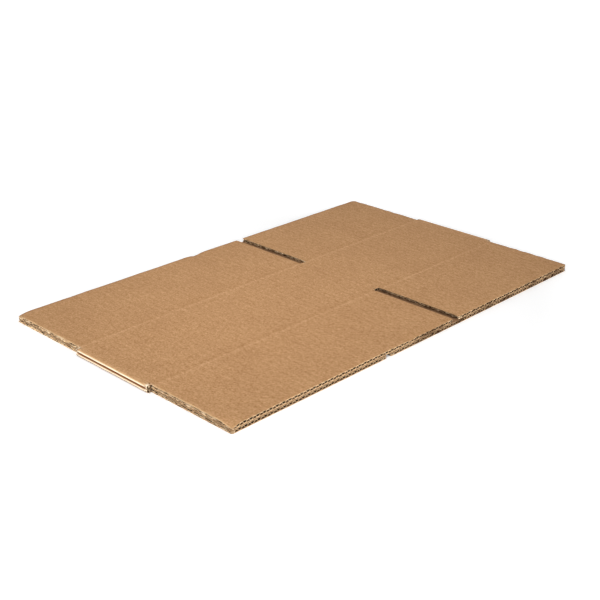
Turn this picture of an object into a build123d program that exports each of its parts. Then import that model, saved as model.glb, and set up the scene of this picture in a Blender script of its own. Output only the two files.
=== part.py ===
from build123d import *
import os

# A regular slotted shipping box, glued and folded flat, lying on its side panels.
# X runs along the girth of the box, Y along its height and its flutes, Z is up.
# The origin is under the middle of the box. All lengths are in millimetres.

# Panels, from score to score
side_panel = 304.0  # long side of the box
end_panel = 204.0  # short side of the box
wall_height = 109.0  # between the two flap scores
flap_meeting = 1.0  # how far a flap passes the middle of the erected box

# Single-wall board
flute_pitch = 7.5
liner = 0.4
medium = 0.3
channel_height = 2.6
foot_width = 1.3  # where the medium is glued to a liner
crest_half = 0.95  # half widths of the blunt top of a channel
crest_flat = 0.4
crest_rise = 0.45

# Folds, slots and scores
ply_gap = 0.6  # air between the two plies
slot_width = 9.0
slot_overrun = 1.5  # how far a slot runs past the flap score
fold_wall = 6.0  # from the outside of a fold to the air gap
fold_radius = 2.05  # rounding of each of its two ridges
score_width = 4.0
score_floor = 1.2
score_depth = 0.2

# Glued joint in the lower ply
joint_gap = 1.5
tab_width = 34.0
tab_root = 4.0
tab_taper = 9.0
tab_rise = 0.35  # crushed tab, above the inner face of the lower ply
tab_sink = 0.3  # and below it

# Sizes that follow from those above
board = 2 * liner + medium + channel_height
flap_depth = end_panel / 2 + flap_meeting
girth = side_panel + end_panel
depth = wall_height + 2 * flap_depth
thickness = 2 * board + ply_gap
upper_ply = board + ply_gap
middle = thickness / 2
left = -girth / 2
right = girth / 2
wall = wall_height / 2
slot_end = wall - slot_overrun
setback = slot_width / 2
upright_score = left + side_panel
joint_score = left + end_panel
joint_edge = joint_score + joint_gap
joint_panel = right - setback - joint_edge
fold_crease = fold_radius - (fold_radius**2 - (middle - fold_radius) ** 2) ** 0.5
foot_half = (flute_pitch - foot_width) / 2
crest_foot = channel_height - crest_rise
flute_count = int((girth - slot_width) / flute_pitch) + 1
first_flute = (0.5 - flute_count) * flute_pitch / 2
next_flute = first_flute + flute_pitch / 2


def flutes_on(first, height):
    """Places one flute apart, along the liner at this height."""
    return [(first + number * flute_pitch, height) for number in range(flute_count)]


# One open channel of the board, with its wide side on a liner
with BuildSketch() as channel:
    with BuildLine():
        Polyline(
            (-foot_half, 0),
            (foot_half, 0),
            (crest_half, crest_foot),
            (crest_flat, channel_height),
            (-crest_flat, channel_height),
            (-crest_half, crest_foot),
            close=True,
        )
    make_face()

# The shallow trough that a score leaves in a face
with BuildSketch() as trough:
    with BuildLine():
        Polyline(
            (-score_width / 2, 0),
            (-score_floor / 2, -score_depth),
            (score_floor / 2, -score_depth),
            (score_width / 2, 0),
            close=True,
        )
    make_face()

with BuildPart() as flattened_box:
    # Walls of the box: two plies joined by a double-ridged fold at each end
    with BuildSketch(Plane.XZ) as walls:
        with BuildLine():
            ThreePointArc(
                (right - fold_radius, thickness),
                (right, thickness - fold_radius),
                (right - fold_crease, middle),
            )
            ThreePointArc(
                (right - fold_crease, middle),
                (right, fold_radius),
                (right - fold_radius, 0),
            )
            mirror(about=Plane.YZ)
            Line((left + fold_radius, 0), (right - fold_radius, 0))
            Line((left + fold_radius, thickness), (right - fold_radius, thickness))
        make_face()
    extrude(amount=slot_end, both=True)

    # Panels of the upper ply with their flaps: a side panel at the left, an end panel at the right
    with BuildSketch(Plane.XY.offset(upper_ply)) as upper_panels:
        with Locations((left + side_panel / 2, 0)):
            Rectangle(side_panel - slot_width, depth)
        with Locations((right - end_panel / 2, 0)):
            Rectangle(end_panel - slot_width, depth)
    extrude(amount=board)

    # Panels of the lower ply with their flaps, the other way round
    with BuildSketch() as lower_panels:
        with Locations((left + end_panel / 2, 0)):
            Rectangle(end_panel - slot_width, depth)
        with Locations((joint_edge + joint_panel / 2, 0)):
            Rectangle(joint_panel, depth)
    extrude(amount=board)

    # Air between the plies, closed by the folds
    with BuildSketch(Plane.XZ) as air:
        with Locations((0, middle)):
            SlotOverall(girth - 2 * fold_wall, ply_gap)
    extrude(amount=depth, both=True, mode=Mode.SUBTRACT)

    # Seam where the cut edge of the last panel meets the score of the first one
    with BuildSketch() as seam:
        with Locations((joint_score + joint_gap / 2, 0)):
            Rectangle(joint_gap, depth)
    extrude(amount=board, mode=Mode.SUBTRACT)

    # Crushed glue tab of the first panel, on the inside of the last one
    with BuildSketch(Plane.XY.offset(board - tab_sink)) as tab:
        with BuildLine():
            Polyline(
                (joint_score - tab_root, -slot_end),
                (joint_score, -slot_end),
                (joint_score + tab_width, -slot_end + tab_taper),
                (joint_score + tab_width, slot_end - tab_taper),
                (joint_score, slot_end),
                (joint_score - tab_root, slot_end),
                close=True,
            )
        make_face()
    extrude(amount=tab_sink + tab_rise)

    # Flap scores across both faces
    with BuildSketch(Plane.YZ) as flap_scores:
        with Locations((-wall, thickness), (wall, thickness)):
            add(trough.sketch)
        with Locations((-wall, 0), (wall, 0)):
            add(trough.sketch, rotation=180)
    extrude(amount=girth, both=True, mode=Mode.SUBTRACT)

    # Upright score of the upper ply, between its slots
    with BuildSketch(Plane.XZ) as side_score:
        with Locations((upright_score, thickness)):
            add(trough.sketch)
    extrude(amount=slot_end, both=True, mode=Mode.SUBTRACT)

    # Open channels of the board, each ply the mirror image of the other
    with BuildSketch(Plane.XZ) as channels:
        with Locations(flutes_on(first_flute, upper_ply + liner), flutes_on(next_flute, liner)):
            add(channel.sketch)
        with Locations(flutes_on(first_flute, board - liner), flutes_on(next_flute, thickness - liner)):
            add(channel.sketch, rotation=180)
    extrude(amount=depth, both=True, mode=Mode.SUBTRACT)

flattened_box.part.label = "flattened_box"

os.makedirs("parts", exist_ok=True)
export_step(flattened_box.part, "parts/flattened_box.step")
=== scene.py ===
"""Dresses the flat box: liners, fluted paper, cut and torn edges, materials, light and camera."""
import math

import bpy
import numpy as np
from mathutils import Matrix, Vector


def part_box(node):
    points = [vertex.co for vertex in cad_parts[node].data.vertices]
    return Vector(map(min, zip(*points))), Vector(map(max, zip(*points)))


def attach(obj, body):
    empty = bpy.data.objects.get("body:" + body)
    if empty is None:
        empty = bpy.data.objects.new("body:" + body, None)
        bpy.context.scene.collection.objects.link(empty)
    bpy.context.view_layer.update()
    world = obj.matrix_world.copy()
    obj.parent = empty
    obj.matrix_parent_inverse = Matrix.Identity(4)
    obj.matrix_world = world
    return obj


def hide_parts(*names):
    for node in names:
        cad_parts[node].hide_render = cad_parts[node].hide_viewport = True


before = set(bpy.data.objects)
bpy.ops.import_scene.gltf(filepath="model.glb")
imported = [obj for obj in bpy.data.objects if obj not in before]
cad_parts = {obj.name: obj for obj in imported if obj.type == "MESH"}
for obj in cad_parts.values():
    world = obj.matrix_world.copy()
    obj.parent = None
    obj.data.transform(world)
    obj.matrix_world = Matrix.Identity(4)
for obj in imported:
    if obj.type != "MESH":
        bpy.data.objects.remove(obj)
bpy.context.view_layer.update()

# Sizes in millimetres, as in the part's source; the outer box comes from the frame
MM = 0.001
LOW, HIGH = (np.array(corner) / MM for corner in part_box("flattened_box"))
LEFT, RIGHT = LOW[0], HIGH[0]
FRONT, BACK = LOW[1], HIGH[1]
THICKNESS = HIGH[2]
SIDE_PANEL = 304.0
END_PANEL = 204.0
WALL_HEIGHT = 109.0
PLY_GAP = 0.6
PITCH = 7.5
LINER = 0.36
MEDIUM = 0.40
SETBACK = 4.5
SLOT_OVERRUN = 1.5
JOINT_GAP = 1.5
FOLD_RADIUS = 2.05
TAB_WIDTH = 34.0
TAB_TAPER = 9.0
TAB_RISE = 0.35
TAB_ROOT = 4.0  # how far the tab reaches back past the joint
TAB_INSET = 0.5  # from the ends of the walls to the tab's sides
TAB_SINK = 0.1  # how far the tab is pressed into the liner under it

# Places that follow from the sizes
BOARD = (THICKNESS - PLY_GAP) / 2
SCORE = WALL_HEIGHT / 2
SLOT_END = SCORE - SLOT_OVERRUN
UPRIGHT = LEFT + SIDE_PANEL
JOINT = LEFT + END_PANEL
FLAP_LEFT = LEFT + SETBACK
FLAP_RIGHT = RIGHT - SETBACK
UPPER_SLOT = (UPRIGHT - SETBACK, UPRIGHT + SETBACK)
LOWER_SLOT = (JOINT - SETBACK, JOINT + JOINT_GAP)
SEAM = (JOINT, JOINT + JOINT_GAP)
INNER_END = 3.4  # from the outside of a fold to the end of the inner liners
MEDIUM_END = 2.4  # the same for the fluted paper
CORE_SPAN = (4.6, 1.6)  # the same for the crushed paper in a fold, where it begins and ends
CORE_LEVELS = (0.7, THICKNESS - 0.9)  # lowest and highest place of that paper

# Form of the paper
FLUTE_SHARPNESS = 1.9  # the higher, the straighter the flanks of the flutes and the flatter their tips
FLUTE_STEPS = 14  # columns across each flute
FOLD_POINTS = 17  # points across each ridge of a fold
MOST_PRESSED = 0.75  # largest share of the thickness that may be lost anywhere
SCORE_PRESS = 0.03  # share lost at the flap scores
CORNER_ROUND = 1.3  # radius of the flaps' corners
STRIP = 7.0  # width of the torn strip beside each knife cut
TORN_HALF = 0.13  # half the thickness of a loose layer of torn paper
TORN_LAYERS = ((40, 2.0, 3.2), (50, 0.5, 1.8))  # step from the ply's seed, lowest and highest place
TOUCH = 0.01  # places nearer than this are the same
NOISE_CELLS = (251, 241)  # random values of a noise field each way, before it repeats

# Seeds of the random fields
UPPER_SEED = 100
LOWER_SEED = 200
FLECK_SEED = 90
DARKENING_SEED = 91
FOLD_SEED = 300
CORE_SEED = 400

# Marks that the photograph shows. Shares are shares of the board's thickness
PRESS_LINE = -20.0  # where both long edges of the upper ply are pressed down
WORN_LOSS = 0.04  # share lost along the worn stretch of the front edge
FLAP_CLOSING = 0.05  # how much nearer the plies lie at the ends of the flaps
PINCH_WIDTH = 6.5
PINCHES = (
    {"x": FLAP_LEFT, "y": FRONT, "share": 0.40, "drop": 0.7, "reach": 11.0},
    {"x": FLAP_LEFT, "y": BACK, "share": 0.30, "drop": 0.3, "reach": 8.0},
)
DENTS = ((-112.0, -106.0, 6.0, 0.06), (-64.0, 48.0, 3.5, 0.05))  # x, y, width and share

# Short cut in the outer liner past the inner end of each upper slot
TICK_HALF = 0.6
TICK_LENGTH = 2.6
TICK_GAP = 1.3
TICKS = (SLOT_END - TICK_GAP - TICK_LENGTH, SLOT_END - TICK_GAP)

# Looks of the paper
FOLD_PAINTED_LIGHT = 0.10  # painted light where the left-hand wall runs into its fold, and at the top of both folds
RIM_PAINTED_LIGHT = 0.5  # painted highlight along the rim of the left-hand cuts, which face the light
GAP_SHADE = 0.3  # darker inner liners at the left-hand cuts
FRONT_LEFT_DARKENING = 0.22  # darker cut paper at the left of the front flaps
UNDER_SLOT_SHADE = 0.45  # darker lower ply where the upper slots leave it open
FAR_EDGE_SHADE = 0.6  # strength of the painted shade along the back edge and the ends of the right-hand flaps
FAR_EDGE_WIDTH = 1.3
FRAYED_X = (RIGHT - 7.0, RIGHT - 3.5)  # where the frayed ends of a fold begin and are complete
MOUTH_DEPTH = 0.45  # how far light reaches into the flutes
SCORE_SHADING = ((1.8, 3.4), (-2.6, 1.9))  # offset from the score and width, of the painted shade and of the painted highlight
PAPER_ROUGHNESS = 0.88
PAPER_SPECULAR = 0.25
TINT_SHARES = (0.77, 1.0, 1.39)  # how strongly a tone acts on red, green and blue
SHADE_BROWN = (0.070, 0.024, 0.004, 1)
MOUTH_KRAFT = (0.80, 0.50, 0.26, 1)

# Light and floor, in metres. The background is white to the camera whatever the room's light
ROOM_LIGHT = 0.38
KEY_DISTANCE = 3.18  # from the middle of the box
LIT_RADIUS = 0.456  # radius that the key lights at its distance
FLOOR_REACH = 6.0
FLOOR_DROP = 0.0002  # the floor lies this much below the box, so that no faces coincide
FLOOR_TONE = 0.88
GLOW_REACH = 2.4  # the steps of the floor's glow are shares of this distance from the middle


def noise(seed, u, v=0.0):
    """Smooth random field of about unit size, with one random value per whole step of u and v."""
    table = np.random.default_rng(seed).uniform(-1, 1, NOISE_CELLS)
    u, v = np.broadcast_arrays(np.asarray(u, float), np.asarray(v, float))
    column, row = np.floor(u).astype(int), np.floor(v).astype(int)
    s, t = u - column, v - row
    s, t = s * s * (3 - 2 * s), t * t * (3 - 2 * t)

    def value(i, j):
        return table[i % NOISE_CELLS[0], j % NOISE_CELLS[1]]

    near = value(column, row) * (1 - s) + value(column + 1, row) * s
    far = value(column, row + 1) * (1 - s) + value(column + 1, row + 1) * s
    return near * (1 - t) + far * t


def amount(size, seed, u, v):
    """A random amount from nothing to twice the size."""
    return size * (1 + noise(seed, u, v))


def bell(distance, width):
    """1 at no distance, fading to nothing over the width."""
    return np.exp(-((distance / width) ** 2))


def step_up(x, low, high):
    """Rises smoothly from 0 at the low place to 1 at the high one."""
    t = np.clip((x - low) / (high - low), 0, 1)
    return t * t * (3 - 2 * t)


def within(x, span, margin=0.0):
    return (x > span[0] - margin) & (x < span[1] + margin)


def on_flap(y):
    return np.abs(y) > SLOT_END


def end_distance(y):
    """Distance from the nearer long edge, where the flutes open."""
    return np.minimum(y - FRONT, BACK - y)


def past_wall(y):
    """How far a place lies past the end of the folded walls, along the flutes."""
    return np.abs(y) - SLOT_END


def inward(number):
    """Direction from a numbered cut of a ply into its board. Even cuts begin a flap, odd ones end it."""
    return 1 if number % 2 == 0 else -1


def spaced(stops, spacing, fine):
    """Values through every stop, close together beside the stops and wide apart between them."""
    values = []
    for low, high in zip(stops[:-1], stops[1:]):
        near = [offset for offset in fine if offset < (high - low) / 2]
        inner = near[-1] if near else 0.0
        count = max(1, round((high - low - 2 * inner) / spacing))
        values += [low] + [low + offset for offset in near[:-1]]
        values += list(np.linspace(low + inner, high - inner, count + 1))
        values += [high - offset for offset in reversed(near[:-1])]
    values.append(stops[-1])
    return np.unique(np.round(values, 4))


class Ply:
    """One of the two plies: where it lies, where it is cut, and how far it is pressed together.

    Each kind of ply has the mean darkness of its front edge right of the press line, the least
    darkness of its whole front edge, which is painted shade, and the row where the noise of it begins.
    """

    def __init__(self, seed, slot):
        self.seed = seed
        self.slot = slot
        self.cuts = (FLAP_LEFT, slot[0], slot[1], FLAP_RIGHT)

    def cut_distance(self, x, y):
        """Distance in the sheet from the nearest knife cut that runs along the flutes."""
        beyond = np.maximum(0, SLOT_END - np.abs(y))
        return np.min([np.hypot(x - cut, beyond) for cut in self.cuts], axis=0)

    def knife_press(self, x, y):
        """Share lost beside the knife cuts, little of it at the slots."""
        lost = np.maximum(0, 0.05 + 0.09 * noise(self.seed + 2, y / 7, x / 90))
        lost = lost * bell(self.cut_distance(x, y), 2.6)
        return lost * np.where(within(x, self.slot, 6), 0.1, 1.0)

    def end_press(self, x, y):
        """Share lost at the open ends of the flutes."""
        lost = 0.05 + 0.04 * noise(self.seed + 3, x / 11, y / 100)
        return lost * bell(end_distance(y), 2.0)

    def press(self, x, y):
        """Share of the board's thickness that is lost: a little everywhere, more at edges and marks."""
        lost = amount(0.012, self.seed, x / 45, y / 60)
        lost = lost + amount(0.010, self.seed + 1, x / 9, y / 130)
        lost = lost + self.knife_press(x, y)
        lost = lost + self.end_press(x, y)
        lost = lost + SCORE_PRESS * bell(np.abs(y) - SCORE, 4.0)
        return lost + self.marks(x, y)

    def place(self, x, y, height):
        """Point of the ply, at a height from its inner face to its outer face."""
        x, y, height = np.broadcast_arrays(x, y, height)
        press = np.clip(self.press(x, y), 0, MOST_PRESSED)
        return np.stack([self.ragged(x, y), y, self.level(height, 1 - press, x, y)], -1)

    def pinched(self, x, y, effect):
        """The share lost at the pinched corners, or the drop of the whole ply there."""
        total = 0.0
        for pinch in PINCHES:
            reach = bell(x - pinch["x"], PINCH_WIDTH)
            total = total + pinch[effect] * reach * bell(y - pinch["y"], pinch["reach"])
        return total

    def ragged(self, x, y):
        """Draws the cut edges back a little, unevenly, and rounds the corners of the flaps."""
        x = x.copy()
        free = np.abs(y) > SLOT_END - TOUCH
        corner = np.clip(CORNER_ROUND - end_distance(y), 0, CORNER_ROUND)
        rounding = CORNER_ROUND - np.sqrt(CORNER_ROUND**2 - corner**2)
        for number, cut in enumerate(self.cuts):
            depth = inward(number) * (x - cut)
            torn = amount(0.22, self.seed + 5 + number, y / 3.5, 0.5)
            torn = torn + amount(0.12, self.seed + 9 + number, y / 1.6, 0.5)
            torn = torn * (0.4 if cut in self.slot else 1.0)
            fade = np.clip(1 - depth / 4.0, 0, 1) * (depth > -TOUCH) * free
            x = x + inward(number) * fade * (torn + rounding)
        return x


class UpperPly(Ply):
    front_darkness = 0.36
    painted_front_shade = 0.0
    darkening_row = 20

    def level(self, height, kept, x, y):
        """Height above the floor, from the height in the board and the share of it that is kept."""
        closed = FLAP_CLOSING * step_up(np.abs(y), SCORE, SCORE + 60) + self.pinched(x, y, "drop")
        return BOARD + PLY_GAP - closed + height * kept

    def marks(self, x, y):
        """Share lost at the press line, the worn edge, the pinches, the upright crease and the dents."""
        front, back = y - FRONT, BACK - y
        lost = 0.30 * bell(x - PRESS_LINE, 5.0) * bell(front, 7.0)
        lost = lost + 0.42 * bell(x - PRESS_LINE - 2, 6.0) * bell(back, 8.0)
        lost = lost + WORN_LOSS * step_up(x, PRESS_LINE - 4, PRESS_LINE + 25) * bell(front, 6.0)
        lost = lost + self.pinched(x, y, "share")
        lost = lost + 0.05 * bell(x - UPRIGHT, 1.5) * (np.abs(y) < SLOT_END)
        for at_x, at_y, width, depth in DENTS:
            lost = lost + depth * bell(np.hypot(x - at_x, y - at_y), width)
        return lost


class LowerPly(Ply):
    front_darkness = 0.46
    # painted shade along the whole front edge of the lower ply
    painted_front_shade = 0.25
    darkening_row = 0

    def level(self, height, kept, x, y):
        """Height above the floor. The ply's outer face lies on it."""
        return (BOARD - height) * kept

    def marks(self, x, y):
        """Share lost at the worn edge, under the pinches and beside the slot."""
        front = y - FRONT
        lost = WORN_LOSS * step_up(x, LOWER_SLOT[1] - 1, LOWER_SLOT[1] + 12) * bell(front, 6.0)
        lost = lost + self.pinched(x, y, "drop") / BOARD
        return lost + 0.10 * bell(x - LOWER_SLOT[0], 14.0) * bell(front, 6.0)


UPPER = UpperPly(UPPER_SEED, UPPER_SLOT)
LOWER = LowerPly(LOWER_SEED, LOWER_SLOT)

# Rows and columns of the grids, closer together where the paper is cut, scored or folded
SCORE_STOPS = [SCORE, SLOT_END, TICKS[1], TICKS[0]]
ROW_STOPS = [FRONT] + [-stop for stop in SCORE_STOPS] + SCORE_STOPS[::-1] + [BACK]
FLAP_STOPS = [FRONT, -SLOT_END, SLOT_END, BACK]
ROWS = spaced(ROW_STOPS, spacing=2.2, fine=(0, 0.4, 0.9, 1.5, 2.6))
MEDIUM_ROWS = spaced(FLAP_STOPS, spacing=40.0, fine=(0, 0.3, 0.7, 1.1, 1.6, 2.6, 8.0))
TORN_ROWS = spaced(FLAP_STOPS, spacing=1.1, fine=(0, 0.4))
TORN_STEPS = np.append(np.linspace(0, 3, 9), np.linspace(3.5, STRIP, 8))
EDGE_STEPS = (0, 0.5, 1.1, 2.0, 3.2, 5.0)


def rim_of(index, keep, shift):
    """Faces that close a sheet wherever it ends. The back's points follow the front's by the shift."""
    padded = np.pad(keep, 1)
    rims = []
    for step, first, second in (
        ((-1, 0), index[:-1, :-1], index[:-1, 1:]),
        ((1, 0), index[1:, 1:], index[1:, :-1]),
        ((0, 1), index[:-1, 1:], index[1:, 1:]),
        ((0, -1), index[1:, :-1], index[:-1, :-1]),
    ):
        beside = np.roll(padded, (-step[0], -step[1]), (0, 1))[1:-1, 1:-1]
        open_side = keep & ~beside
        p, q = first[open_side], second[open_side]
        rims.append(np.stack([q, p, p + shift, q + shift], -1))
    return np.concatenate(rims)


def paper_mesh(name, face, back, keep, tones=None):
    """A closed sheet between two grids of points.

    Keep says which cells between the points are paper, and the tones are values at the points
    that the materials read.
    """
    rows, columns = face.shape[:2]
    shift = rows * columns
    index = np.arange(shift).reshape(rows, columns)
    a, b = index[:-1, :-1][keep], index[:-1, 1:][keep]
    c, d = index[1:, 1:][keep], index[1:, :-1][keep]
    sides = [np.stack([a, b, c, d], -1), np.stack([d, c, b, a], -1) + shift, rim_of(index, keep, shift)]
    faces = np.concatenate(sides)
    used, faces = np.unique(faces, return_inverse=True)
    faces = faces.reshape(-1, 4)
    points = np.concatenate([face.reshape(-1, 3), back.reshape(-1, 3)])[used] * MM
    mesh = bpy.data.meshes.new(name)
    mesh.from_pydata(points.tolist(), [], faces.tolist())
    # Slots of the face, the back and the rim, of which the rim alone isn't smooth
    kinds = np.repeat([0, 1, 2], [len(side) for side in sides])
    mesh.polygons.foreach_set("material_index", kinds.tolist())
    mesh.polygons.foreach_set("use_smooth", (kinds < 2).tolist())
    for key, values in (tones or {}).items():
        layer = mesh.attributes.new(key, "FLOAT", "POINT")
        both = np.concatenate([values.ravel(), values.ravel()])[used]
        layer.data.foreach_set("value", both.astype(np.float32))
    mesh.update()
    piece = bpy.data.objects.new(name, mesh)
    bpy.context.collection.objects.link(piece)
    return piece


def cells(columns, rows):
    """Middle of each cell of a grid, as x and y."""
    x = (columns[:-1] + columns[1:]) / 2
    y = (rows[:-1] + rows[1:]) / 2
    return np.meshgrid(x, y)


def is_board(x, y, ply):
    """Where a ply has board, seen from above."""
    past_flap = (x < FLAP_LEFT) | (x > FLAP_RIGHT)
    board = ~(on_flap(y) & (within(x, ply.slot) | past_flap))
    if ply is LOWER:
        board &= ~within(x, SEAM)
    return board


def in_tick(x, y):
    return within(np.abs(y), TICKS) & (np.abs(x - UPRIGHT) < TICK_HALF)


def painted_slot_shade(ply, x, y):
    """Painted shade on the cut paper in a ply's slots, broken by paler flecks, with more light between
    them in the back slot.
    """
    level = np.where(y > 0, 0.42, 0.68)
    spread = np.where(y > 0, 0.50, 0.30)
    flecks = level + spread * noise(FLECK_SEED, y / 1.1, x / 1.3)
    near = np.minimum(np.abs(x - ply.slot[0]), np.abs(x - ply.slot[1]))
    shade = np.clip(flecks, 0, 1) * bell(near, 3.0) * (np.abs(y) > SLOT_END - 1)
    return shade * step_up(end_distance(y), -1, 4)


def front_darkening(ply, x, y):
    """Darker speckled front edge right of the press line, and a ply's painted shade along its whole
    front edge.
    """
    patchy = ply.front_darkness + 0.70 * noise(DARKENING_SEED, x / 2.6, y / 3.0 + ply.darkening_row)
    patchy = np.clip(patchy, 0, 1) * step_up(x, PRESS_LINE, PRESS_LINE + 15)
    return np.maximum(patchy, ply.painted_front_shade) * bell(y - FRONT, 3.0)


def paper_shade(ply, x, y):
    """How far the hidden, cut and torn paper is darkened, from 0 to 1: painted shade in and under the
    slots and along the lower ply's front, and darker paper at the front edges.
    """
    shade = painted_slot_shade(ply, x, y)
    if ply is LOWER:
        shade = np.maximum(shade, UNDER_SLOT_SHADE * (within(x, UPPER_SLOT, 2) & on_flap(y)))
    shade = np.maximum(shade, front_darkening(ply, x, y))
    return np.maximum(shade, FRONT_LEFT_DARKENING * bell(x - FLAP_LEFT, 3.0) * (y < -SLOT_END))


def flute_mouth(y):
    """How near a place inside a flute is to its open end: 1 at the end, 0 a little way in."""
    return bell(end_distance(y), MOUTH_DEPTH)


def fold_path():
    """The double ridge at the right end: outside and inside as x and z, and where it is lit or dark."""
    middle = THICKNESS / 2
    centre_x = RIGHT - FOLD_RADIUS
    crease = math.asin((middle - FOLD_RADIUS) / FOLD_RADIUS)
    turn = np.linspace(math.pi / 2, -crease, FOLD_POINTS)
    lines = []
    for radius in (FOLD_RADIUS, FOLD_RADIUS - LINER):
        x = centre_x + radius * np.cos(turn)
        z = THICKNESS - FOLD_RADIUS + radius * np.sin(turn)
        x[-1] = centre_x + FOLD_RADIUS * math.cos(crease) - (FOLD_RADIUS - radius)
        z[-1] = middle
        lines.append(np.stack([np.append(x, x[-2::-1]), np.append(z, THICKNESS - z[-2::-1])], -1))
    # Tilt of the surface in degrees: -90 looks straight up and 90 straight down
    tilt = -np.degrees(np.append(turn, -turn[-2::-1]))
    height = lines[0][:, 1]
    # Painted highlight where the ridges turn toward the light, on paper that is also paler where rubbed,
    # and painted shade where they turn down and in the crease between them
    ridge = (FOLD_PAINTED_LIGHT + (1 - FOLD_PAINTED_LIGHT) * step_up(tilt, -55, -10)) * (1 - step_up(tilt, 14, 22))
    valley = step_up(tilt, 15, 23) + bell(height - middle, 1.0)
    return *lines, np.clip(ridge, 0, 1), np.clip(valley, 0, 1)


def fold_points(path, side, rows):
    """Points of a fold for all rows, with the uneven face that crushed paper has."""
    x, y = np.meshgrid(path[:, 0], rows)
    z = np.broadcast_to(path[:, 1], x.shape)
    kept_up = 1 - UPPER.press(side * x, y)
    kept_low = 1 - LOWER.press(side * x, y)
    level_up = UPPER.level(z - BOARD - PLY_GAP, kept_up, side * x, y)
    level_low = LOWER.level(BOARD - z, kept_low, side * x, y)
    level = np.where(z >= THICKNESS / 2, level_up, level_low)
    seed = FOLD_SEED + side
    dented = amount(0.10, seed, y / 9, z / 2) + amount(0.04, seed + 10, y / 2.5, z / 1.2)
    drawn_in = amount(0.5, seed + 20, z / 1.1, np.sign(y) * 3.3) * bell(past_wall(y), 0.8)
    x = side * (x - dented * step_up(x, RIGHT - FOLD_RADIUS, RIGHT - 1))
    return np.stack([x, y - np.sign(y) * drawn_in, level], -1)


def upper_tones(x, y, along, ridge, valley):
    """Where the outer liner of the upper ply has painted light and shade, and where it is frayed or
    open.
    """
    # Painted light: a paler tone on the left-hand wall beside its fold and along the rims of the
    # left-hand cuts, the sides that face the light
    glow = FOLD_PAINTED_LIGHT * step_up(-x, FLAP_RIGHT - 1, FLAP_RIGHT + 1) * (np.abs(y) < SLOT_END)
    glow = glow + RIM_PAINTED_LIGHT * bell(x - FLAP_LEFT, 0.9) * on_flap(y)
    tones = {}
    for key, on_fold, on_flat in (("ridge", ridge, glow), ("valley", valley, 0 * glow)):
        left = np.broadcast_to(on_fold[::-1], (len(y), len(on_fold)))
        tones[key] = np.concatenate([left, on_flat, left[:, ::-1]], 1)
    beside_folds = ((0, 0), (len(ridge), len(ridge)))
    tones["shade"] = np.pad(paper_shade(UPPER, x, y), beside_folds)
    frayed = bell(past_wall(ROWS), 3.2)[:, None] * step_up(np.abs(along), *FRAYED_X)
    tones["frayed"] = frayed
    tones["mouth"] = np.broadcast_to(flute_mouth(ROWS)[:, None], frayed.shape)
    # Painted shade along the back edge and the ends of the right-hand flaps, which turn away from the
    # light
    back, right = bell(BACK - y, FAR_EDGE_WIDTH), bell(FLAP_RIGHT - x, FAR_EDGE_WIDTH)
    tones["pressed"] = np.pad(np.maximum(back, right * on_flap(y)), beside_folds)
    return tones


def upper_skin():
    """Outer liner of the upper ply, with the two folds that carry it round to the underside."""
    tick_edges = [UPRIGHT - TICK_HALF, UPRIGHT + TICK_HALF]
    stops = [FLAP_LEFT, UPPER_SLOT[0], *tick_edges, UPPER_SLOT[1], FLAP_RIGHT]
    flat = spaced(stops, spacing=5.0, fine=EDGE_STEPS)
    x, y = np.meshgrid(flat, ROWS)
    outside, inside, ridge, valley = fold_path()
    faces = []
    for path, height in ((outside, BOARD), (inside, BOARD - LINER)):
        left = fold_points(path, -1, ROWS)[:, ::-1]
        right = fold_points(path, 1, ROWS)
        faces.append(np.concatenate([left, UPPER.place(x, y, height), right], 1))
    along = np.concatenate([-outside[::-1, 0], flat, outside[:, 0]])
    # With the folds moved outward, the cells that join them to the flat part lie past the flaps
    apart = np.concatenate([-outside[::-1, 0] - 5, flat, outside[:, 0] + 5])
    cell_x, cell_y = cells(apart, ROWS)
    keep = is_board(cell_x, cell_y, UPPER) & ~in_tick(cell_x, cell_y)
    return paper_mesh("outer_liner_upper", *faces, keep, upper_tones(x, y, along, ridge, valley))


def lower_skin():
    """Outer liner of the lower ply, between the two folds."""
    inner = [FLAP_LEFT, LOWER_SLOT[0], *SEAM, FLAP_RIGHT]
    stops = [LEFT + FOLD_RADIUS, *inner, RIGHT - FOLD_RADIUS]
    columns = spaced(stops, spacing=6.0, fine=EDGE_STEPS)
    x, y = np.meshgrid(columns, ROWS)
    keep = is_board(*cells(columns, ROWS), LOWER)
    faces = [LOWER.place(x, y, height) for height in (BOARD, BOARD - LINER)]
    tones = {"shade": paper_shade(LOWER, x, y), "mouth": flute_mouth(y)}
    return paper_mesh("outer_liner_lower", *faces, keep, tones)


def inner_skin(name, ply):
    """Liner on the inside of a ply, which ends in the crushed core of the folds."""
    stops = [LEFT + INNER_END, FLAP_LEFT, *ply.slot, FLAP_RIGHT, RIGHT - INNER_END]
    if ply is LOWER:
        stops.insert(3, SEAM[0])
    columns = spaced(stops, spacing=7.0, fine=EDGE_STEPS)
    x, y = np.meshgrid(columns, ROWS)
    keep = is_board(*cells(columns, ROWS), ply)
    between = GAP_SHADE * bell(x - FLAP_LEFT, 2.0) * on_flap(y)
    tones = {"shade": np.maximum(paper_shade(ply, x, y), between), "mouth": flute_mouth(y)}
    return paper_mesh(name, ply.place(x, y, 0.0), ply.place(x, y, LINER), keep, tones)


def flute_centre(ply, x, y, phase):
    """Height of the middle of the fluted paper, in the board."""
    swing = (BOARD - 2 * LINER - MEDIUM) / 2
    turn = 2 * math.pi * (x / PITCH + phase) + 0.30 * noise(ply.seed + 20, x / PITCH, y / 150)
    wave = np.tanh(FLUTE_SHARPNESS * np.sin(turn))
    return BOARD / 2 + swing * wave / math.tanh(FLUTE_SHARPNESS)


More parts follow.
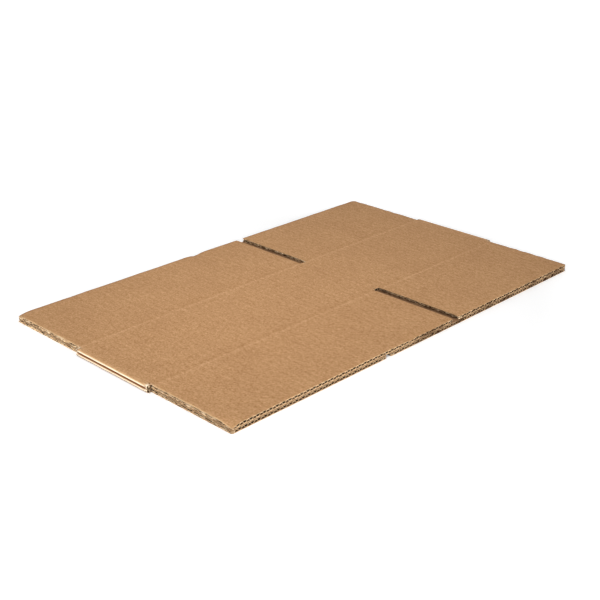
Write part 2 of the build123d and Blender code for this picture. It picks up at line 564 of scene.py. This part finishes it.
def crushed_height(ply, x, y, height):
    """Height of the fluted paper where the knife has crushed and torn it."""
    torn = bell(ply.cut_distance(x, y), 1.9)
    wander = 0.9 * noise(ply.seed + 30, y / 2.6, x / 2.5)
    wander = wander + 0.4 * noise(ply.seed + 31, y / 1.1, x / 1.5)
    height = height + torn * (0.45 * (BOARD / 2 - height) + wander)
    return np.clip(height, LINER + MEDIUM / 2, BOARD - LINER - MEDIUM / 2)


def medium_points(ply, x, y, phase, crushed):
    """The fluted paper between the liners: its two faces at each place."""
    step = 0.05
    rise = flute_centre(ply, x + step, y, phase) - flute_centre(ply, x - step, y, phase)
    slope = rise / (2 * step)
    length = np.hypot(1, slope)
    height = flute_centre(ply, x, y, phase)
    if crushed:
        height = crushed_height(ply, x, y, height)
    sides = []
    for sign in (1, -1):
        offset = sign * MEDIUM / 2
        sides.append(ply.place(x - offset * slope / length, y, height + offset / length))
    return sides


def medium(name, ply, phase):
    """The fluted paper of one ply, apart from the strips beside the knife cuts."""
    strip_ends = [cut + inward(number) * STRIP for number, cut in enumerate(ply.cuts)]
    stops = [LEFT + MEDIUM_END, *ply.cuts, RIGHT - MEDIUM_END, *strip_ends]
    if ply is LOWER:
        stops.append(SEAM[0])
    columns = spaced(sorted(stops), spacing=PITCH / FLUTE_STEPS, fine=())
    x, y = np.meshgrid(columns, MEDIUM_ROWS)
    cell_x, cell_y = cells(columns, MEDIUM_ROWS)
    near_cut = np.min([np.abs(cell_x - cut) for cut in ply.cuts], axis=0) < STRIP
    keep = is_board(cell_x, cell_y, ply) & ~(near_cut & on_flap(cell_y))
    tones = {"shade": paper_shade(ply, x, y), "mouth": flute_mouth(y)}
    return paper_mesh(name, *medium_points(ply, x, y, phase, crushed=False), keep, tones)


def strips(ply, offsets):
    """A grid with columns beside each knife cut, and which of its cells lie beside one."""
    columns = []
    for number, cut in enumerate(ply.cuts):
        columns += [cut + inward(number) * offset for offset in offsets]
    columns = np.unique(np.round(columns, 4))
    cell_x, cell_y = cells(columns, TORN_ROWS)
    near = np.zeros(cell_x.shape, bool)
    for number, cut in enumerate(ply.cuts):
        depth = inward(number) * (cell_x - cut)
        near |= (depth > 0) & (depth < offsets[-1])
    x, y = np.meshgrid(columns, TORN_ROWS)
    return x, y, near & on_flap(cell_y)


def torn_medium(name, ply, phase):
    """The last flute beside each knife cut, crushed and torn by the knife."""
    x, y, keep = strips(ply, TORN_STEPS)
    faces = medium_points(ply, x, y, phase, crushed=True)
    return paper_mesh(name, *faces, keep, {"shade": paper_shade(ply, x, y)})


def torn_layer(name, ply, seed, low, high):
    """Loose layers of torn paper at the knife cuts, between two heights of the board, with gaps."""
    x, y, keep = strips(ply, (0.0, 0.9, 1.9))
    cell_x, cell_y = cells(x[0], y[:, 0])
    keep = keep & (noise(seed, cell_y / 3.2, cell_x / 3.0) > -0.25)
    height = low + (high - low) * (0.5 + 0.5 * noise(seed + 1, y / 4.5, x / 6.0))
    height = height + 0.25 * noise(seed + 2, y / 1.2, x / 1.2)
    height = np.clip(height, LINER + 0.15, BOARD - LINER - 0.15)
    drawn_back = amount(0.5, seed + 3, y / 1.7, x / 9.0) * (ply.cut_distance(x, y) < TOUCH)
    for number, cut in enumerate(ply.cuts):
        x = x + inward(number) * drawn_back * (np.abs(x - cut) < TOUCH)
    faces = [ply.place(x, y, height + offset) for offset in (TORN_HALF, -TORN_HALF)]
    return paper_mesh(name, *faces, keep, {"shade": paper_shade(ply, x, y)})


def fold_end(name, side, end):
    """Crushed paper in the open end of a fold."""
    seed = CORE_SEED + 3 * side + end
    columns = side * np.linspace(RIGHT - CORE_SPAN[0], RIGHT - CORE_SPAN[1], 6)
    levels = np.linspace(*CORE_LEVELS, 15)
    x, z = np.meshgrid(columns, levels)
    cell_x, cell_z = cells(columns, levels)
    keep = noise(seed + 10, cell_x / 1.1, cell_z / 0.7) > -0.1
    out = 0.7 + 0.9 * noise(seed, x / 0.8, z / 0.9)
    y = end * (SLOT_END - 0.3 + out)
    z = z + 0.2 * noise(CORE_SEED + 20, x / 0.7, z / 0.6)
    faces = [np.stack([x, y + offset, z], -1) for offset in (-TORN_HALF, TORN_HALF)]
    shade = np.clip(0.45 + 0.9 * noise(CORE_SEED + 30, x / 0.9, z / 0.9), 0, 1)
    return paper_mesh(name, *faces, keep, {"shade": shade})


def glue_tab():
    """Crushed tab of the first panel, glued to the inside of the last one."""
    columns = spaced([JOINT - TAB_ROOT, JOINT, JOINT + TAB_WIDTH], spacing=4.0, fine=(0, 0.6))
    x, across = np.meshgrid(columns, np.linspace(-1, 1, 41))
    half = SLOT_END - TAB_INSET - TAB_TAPER * np.clip((x - JOINT) / TAB_WIDTH, 0, 1)
    y = across * half
    keep = np.ones((len(x) - 1, len(columns) - 1), bool)
    return paper_mesh("glue_tab", LOWER.place(x, y, -TAB_RISE), LOWER.place(x, y, TAB_SINK), keep)


def new_material(name):
    material = bpy.data.materials.new(name)
    material.use_nodes = True
    tree = material.node_tree
    shader = tree.nodes["Principled BSDF"]
    shader.inputs["Roughness"].default_value = PAPER_ROUGHNESS
    shader.inputs["Specular IOR Level"].default_value = PAPER_SPECULAR
    return material, tree, shader


def feed(tree, socket, value):
    """Links a socket to another one, or gives it a plain value."""
    if isinstance(value, bpy.types.NodeSocket):
        tree.links.new(value, socket)
    else:
        socket.default_value = value


def add_node(tree, kind, values=None, **settings):
    node = tree.nodes.new(kind)
    for key, value in settings.items():
        setattr(node, key, value)
    for key, value in (values or {}).items():
        feed(tree, node.inputs[key], value)
    return node


def object_place(tree):
    return add_node(tree, "ShaderNodeTexCoord").outputs["Object"]


def drawn_tone(tree, name):
    """One of the tones that paper_mesh keeps at the points of a sheet."""
    return add_node(tree, "ShaderNodeAttribute", attribute_name=name).outputs["Fac"]


def spots(tree, place, size, detail=3.0, stretch=(1, 1, 1)):
    """Noise whose blotches have the given size in metres, longer along axes stretched by less than 1."""
    scaled = add_node(tree, "ShaderNodeMapping", {"Vector": place, "Scale": stretch})
    values = {"Vector": scaled.outputs["Vector"], "Scale": 1 / size, "Detail": detail, "Roughness": 0.6}
    return add_node(tree, "ShaderNodeTexNoise", values).outputs["Fac"]


def math_node(tree, operation, a, b=0.5, c=0.5):
    return add_node(tree, "ShaderNodeMath", {0: a, 1: b, 2: c}, operation=operation).outputs[0]


def mix_colour(tree, factor, a, b, blend="MIX"):
    # A mix node's colours are its sockets 6 and 7, and its mixed colour is its output 2
    node = add_node(tree, "ShaderNodeMix", data_type="RGBA", blend_type=blend)
    for number, value in ((0, factor), (6, a), (7, b)):
        feed(tree, node.inputs[number], value)
    return node.outputs[2]


def ramp(tree, factor, stops):
    node = add_node(tree, "ShaderNodeValToRGB", {"Fac": factor})
    elements = node.color_ramp.elements
    while len(elements) < len(stops):
        elements.new(0.5)
    for element, (position, colour) in zip(elements, stops):
        element.position = position
        element.color = colour
    return node.outputs["Color"]


def finish_paper(tree, shader, colour, relief, strength, height):
    """Gives a paper its colour and a bump from its relief, with the height in metres."""
    tree.links.new(colour, shader.inputs["Base Color"])
    bump = add_node(tree, "ShaderNodeBump", {"Strength": strength, "Distance": height, "Height": relief})
    tree.links.new(bump.outputs["Normal"], shader.inputs["Normal"])


def grey(value):
    return (value, value, value, 1)


def tinted(tree, colour, field, low, high, edges=(0.3, 0.7)):
    """Multiplies a kraft colour by a tone that follows a field: browner where low, paler where high."""

    def tone(value):
        return (*(1 + (value - 1) * share for share in TINT_SHARES), 1)

    tones = ramp(tree, field, [(edges[0], tone(low)), (edges[1], tone(high))])
    return mix_colour(tree, 1.0, colour, tones, "MULTIPLY")


def flute_wave(tree, place):
    """A wave with the pitch of the flutes, from 0 to 1."""
    split = add_node(tree, "ShaderNodeSeparateXYZ", {"Vector": place})
    wander = spots(tree, place, 0.05, 2.0)
    turn = math_node(tree, "MULTIPLY", split.outputs["X"], 2 * math.pi / (PITCH * MM))
    turn = math_node(tree, "ADD", turn, math_node(tree, "MULTIPLY", wander, 2.0))
    wave = math_node(tree, "SINE", turn)
    return math_node(tree, "MULTIPLY_ADD", wave, 0.5, 0.5)


def painted_score_shading(tree, place):
    """Painted shade just behind each flap score and a painted highlight just before it, as on a ridge
    lit from the front.
    """
    across = add_node(tree, "ShaderNodeSeparateXYZ", {"Vector": place}).outputs["Y"]
    bands = []
    for offset, width in SCORE_SHADING:
        both = []
        for score in (-SCORE, SCORE):
            off = math_node(tree, "SUBTRACT", across, (score + offset) * MM)
            off = math_node(tree, "MULTIPLY", off, 1 / (width * MM))
            off = math_node(tree, "MULTIPLY", off, off)
            both.append(math_node(tree, "EXPONENT", math_node(tree, "MULTIPLY", off, -1.0)))
        bands.append(math_node(tree, "ADD", *both))
    return bands


def fold_colour(tree, place, colour):
    """Paints the ridges of the folds pale, partly as rubbed paper and partly as painted highlight, and
    paints shade in the valley between them.
    """
    ridge = drawn_tone(tree, "ridge")
    patchy = ramp(tree, spots(tree, place, 0.005), [(0.3, grey(0.75)), (0.6, grey(1))])
    lit = ramp(tree, ridge, [(0.5, (0.98, 0.68, 0.38, 1)), (1.0, (1.0, 0.88, 0.66, 1))])
    colour = mix_colour(tree, math_node(tree, "MULTIPLY", ridge, patchy), colour, lit)
    return mix_colour(tree, drawn_tone(tree, "valley"), colour, (0.17, 0.045, 0.005, 1))


def edge_colour(tree, place, colour):
    """Paints shade along the back edge and the right-hand flap ends, and shows torn fibres at the frayed
    ends of the folds, with painted shade in the pits between them.
    """
    pressed = math_node(tree, "MULTIPLY", drawn_tone(tree, "pressed"), FAR_EDGE_SHADE)
    colour = mix_colour(tree, pressed, colour, (0.22, 0.09, 0.025, 1))
    dark, middle, pale = (0.05, 0.018, 0.006, 1), (0.52, 0.29, 0.14, 1), (0.96, 0.82, 0.62, 1)
    torn = ramp(tree, spots(tree, place, 0.0028, 2.0), [(0.43, dark), (0.49, middle), (0.55, pale)])
    return mix_colour(tree, drawn_tone(tree, "frayed"), colour, torn)


def kraft_face():
    """Outside of the liner: smooth kraft paper, mottled, with the flutes showing through faintly."""
    material, tree, shader = new_material("kraft_liner")
    place = object_place(tree)
    clouds = spots(tree, place, 0.06)
    patches = spots(tree, place, 0.010, stretch=(1.0, 0.5, 1.0))
    fibres = spots(tree, place, 0.0030, stretch=(1.0, 0.35, 1.0))
    grain = spots(tree, place, 0.0012, 2.0, (1.0, 0.6, 1.0))
    wave = flute_wave(tree, place)
    colour = ramp(tree, clouds, [(0.3, (0.458, 0.249, 0.113, 1)), (0.7, (0.490, 0.271, 0.125, 1))])
    colour = tinted(tree, colour, patches, 0.975, 1.025)
    colour = tinted(tree, colour, fibres, 0.95, 1.05)
    colour = tinted(tree, colour, grain, 0.64, 1.34, (0.25, 0.75))
    colour = tinted(tree, colour, wave, 0.955, 1.02, (0.0, 1.0))
    score_shade, score_highlight = painted_score_shading(tree, place)
    colour = tinted(tree, colour, score_shade, 1.0, 0.95, (0.0, 1.0))
    colour = tinted(tree, colour, score_highlight, 1.0, 1.13, (0.0, 1.0))
    colour = edge_colour(tree, place, fold_colour(tree, place, colour))
    relief = math_node(tree, "MULTIPLY", wave, 0.35)
    for field in (grain, fibres):
        relief = math_node(tree, "ADD", relief, math_node(tree, "MULTIPLY", field, 0.3))
    finish_paper(tree, shader, colour, relief, strength=0.5, height=0.00010)
    return material


def rough_paper(name, grain_size, stops, stretch=(1, 1, 1), mouth=None):
    """Fibrous paper, coloured by its grain, darkened by its shade and of another colour at a mouth."""
    material, tree, shader = new_material(name)
    place = object_place(tree)
    grain = spots(tree, place, grain_size, 4.0, stretch)
    colour = tinted(tree, ramp(tree, grain, stops), spots(tree, place, 0.012), 0.9, 1.08)
    if mouth:
        colour = mix_colour(tree, drawn_tone(tree, "mouth"), colour, mouth)
    colour = mix_colour(tree, drawn_tone(tree, "shade"), colour, SHADE_BROWN)
    finish_paper(tree, shader, colour, grain, strength=0.6, height=0.00012)
    return material


def kraft_inside():
    """Inside of the liner, a little rougher than its outside."""
    stops = [(0.25, (0.37, 0.20, 0.10, 1)), (0.75, (0.50, 0.29, 0.15, 1))]
    return rough_paper("kraft_inside", 0.0013, stops)


def flute_paper(name, dark, lit):
    """Paper of the medium and of the liners' hidden faces, with painted shade inside the flutes and
    kraft only at their mouths.
    """
    return rough_paper(name, 0.0015, [(0.25, dark), (0.75, lit)], mouth=MOUTH_KRAFT)


def torn_paper():
    """Crushed paper at the knife cuts: long pale torn fibres with painted shade in the gaps between
    them.
    """
    dark, middle, pale = (0.022, 0.008, 0.002, 1), (0.50, 0.26, 0.11, 1), (1.0, 0.80, 0.54, 1)
    stops = [(0.415, dark), (0.465, middle), (0.54, pale)]
    return rough_paper("torn_paper", 0.0026, stops, (1.0, 0.35, 1.7))


def cut_paper():
    """Pale fibres where a knife has cut the paper."""
    dark, middle, pale = (0.52, 0.27, 0.11, 1), (0.86, 0.56, 0.30, 1), (0.99, 0.75, 0.47, 1)
    return rough_paper("cut_paper", 0.0012, [(0.28, dark), (0.42, middle), (0.72, pale)])


def dress(piece, *materials):
    """Gives a piece the materials of its face, back and rim, and ties it to the frame."""
    for material in materials:
        piece.data.materials.append(material)
    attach(piece, "root")
    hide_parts("flattened_box")


def build_box():
    """All paper of the box.

    The face of a liner looks away from the flutes beside it, and the face of a fluted paper looks
    toward the outer liner of its ply.
    """
    liner, inside = kraft_face(), kraft_inside()
    deep_flute_shade = flute_paper("flute_paper", (0.004, 0.002, 0.001, 1), (0.016, 0.007, 0.003, 1))
    light_flute_shade = flute_paper("flute_paper_light_shade", (0.10, 0.05, 0.022, 1), (0.22, 0.12, 0.055, 1))
    torn, cut = torn_paper(), cut_paper()
    dress(upper_skin(), liner, deep_flute_shade, cut)
    dress(lower_skin(), liner, light_flute_shade, cut)
    dress(glue_tab(), inside, inside, cut)
    for side_name, side in (("left", -1), ("right", 1)):
        for end_name, end in (("front", -1), ("back", 1)):
            dress(fold_end(f"fold_end_{end_name}_{side_name}", side, end), torn, torn, cut)
    # Painted shade inside the flutes, deeper in the upper half of each ply and lighter in its lower half
    for ply, label, phase, outer_flute, inner_flute in (
        (UPPER, "upper", 0.0, deep_flute_shade, light_flute_shade),
        (LOWER, "lower", 0.31, light_flute_shade, deep_flute_shade),
    ):
        dress(inner_skin(f"inner_liner_{label}", ply), inside, inner_flute, cut)
        dress(medium(f"medium_{label}", ply, phase), outer_flute, inner_flute, cut)
        dress(torn_medium(f"torn_medium_{label}", ply, phase), torn, torn, cut)
        for number, (step, low, high) in enumerate(TORN_LAYERS, 1):
            layer = torn_layer(f"torn_layer_{label}_{number}", ply, ply.seed + step, low, high)
            dress(layer, torn, torn, cut)


def seen_directly(tree):
    """1 for rays from the camera, mirrors and glass, and 0 for those that light the object."""
    rays = add_node(tree, "ShaderNodeLightPath")
    seen = math_node(tree, "MAXIMUM", rays.outputs["Is Camera Ray"], rays.outputs["Is Glossy Ray"])
    return math_node(tree, "MAXIMUM", seen, rays.outputs["Is Transmission Ray"])


def stage():
    """Pale floor, lifted to white for the camera, least near the box, where it keeps the shadow."""
    mesh = bpy.data.meshes.new("floor")
    corners = [(FLOOR_REACH * x, FLOOR_REACH * y, 0) for x, y in ((-1, -1), (1, -1), (1, 1), (-1, 1))]
    mesh.from_pydata(corners, [], [(0, 1, 2, 3)])
    floor = bpy.data.objects.new("floor", mesh)
    floor.location.z = -FLOOR_DROP
    bpy.context.collection.objects.link(floor)
    material, tree, shader = new_material("floor_paint")
    shader.inputs["Base Color"].default_value = grey(FLOOR_TONE)
    shader.inputs["Emission Color"].default_value = grey(1)
    away = add_node(tree, "ShaderNodeVectorMath", {0: object_place(tree)}, operation="LENGTH")
    glow = [(0.10, grey(0.24)), (0.17, grey(0.58)), (0.5, grey(0.9))]
    lifted = ramp(tree, math_node(tree, "MULTIPLY", away.outputs["Value"], 1 / GLOW_REACH), glow)
    strength = math_node(tree, "MULTIPLY", seen_directly(tree), lifted)
    tree.links.new(strength, shader.inputs["Emission Strength"])
    mesh.materials.append(material)


def aimed(data, position, ahead):
    """Adds a lamp or the camera at a place, turned to look ahead."""
    holder = bpy.data.objects.new(data.name, data)
    holder.location = position
    holder.rotation_euler = ahead.to_track_quat("-Z", "Y").to_euler()
    bpy.context.collection.objects.link(holder)
    return holder


def lamp(name, kind, energy, position, target=(0.0, 0.0, 0.0), **settings):
    """A lamp that shines on a target."""
    beam = bpy.data.lights.new(name, kind)
    beam.energy = energy
    for key, value in settings.items():
        setattr(beam, key, value)
    aimed(beam, position, Vector(target) - Vector(position))


def room():
    """Even white light from all round."""
    world = bpy.data.worlds.new("room")
    bpy.context.scene.world = world
    world.use_nodes = True
    tree = world.node_tree
    strength = math_node(tree, "MULTIPLY_ADD", seen_directly(tree), 1 - ROOM_LIGHT, ROOM_LIGHT)
    background = tree.nodes["Background"]
    background.inputs["Color"].default_value = grey(1)
    tree.links.new(strength, background.inputs["Strength"])


def light():
    """A soft key from the left and weaker fills from the front and the far left."""
    room()
    angle = 2 * math.atan(LIT_RADIUS / KEY_DISTANCE)
    spot = {"shadow_soft_size": 0.35, "spot_size": angle, "spot_blend": 1.0}
    lamp("key", "SPOT", 328.0, (-1.7, -1.1, 2.45), (-0.085, 0.012, 0.0), **spot)
    lamp("fill", "AREA", 52.0, (0.5, -3.4, 1.1), size=1.7)
    lamp("side", "AREA", 30.0, (-2.9, -0.5, 0.8), size=1.2)


def camera():
    """The photograph's viewpoint: a long lens, from the left of the front, above the sheet."""
    azimuth, elevation, distance = math.radians(45.53), math.radians(23.57), 1.1488
    target = Vector((-0.0272, -0.0175, THICKNESS * MM))
    ahead = Vector((math.sin(azimuth), math.cos(azimuth), -math.tan(elevation))).normalized()
    lens = bpy.data.cameras.new("camera")
    lens.sensor_width = 36.0
    lens.lens = 67.4
    lens.clip_start = 0.05
    bpy.context.scene.camera = aimed(lens, target - distance * ahead, ahead)


bpy.context.scene.view_settings.view_transform = "Standard"
build_box()
stage()
light()
camera()
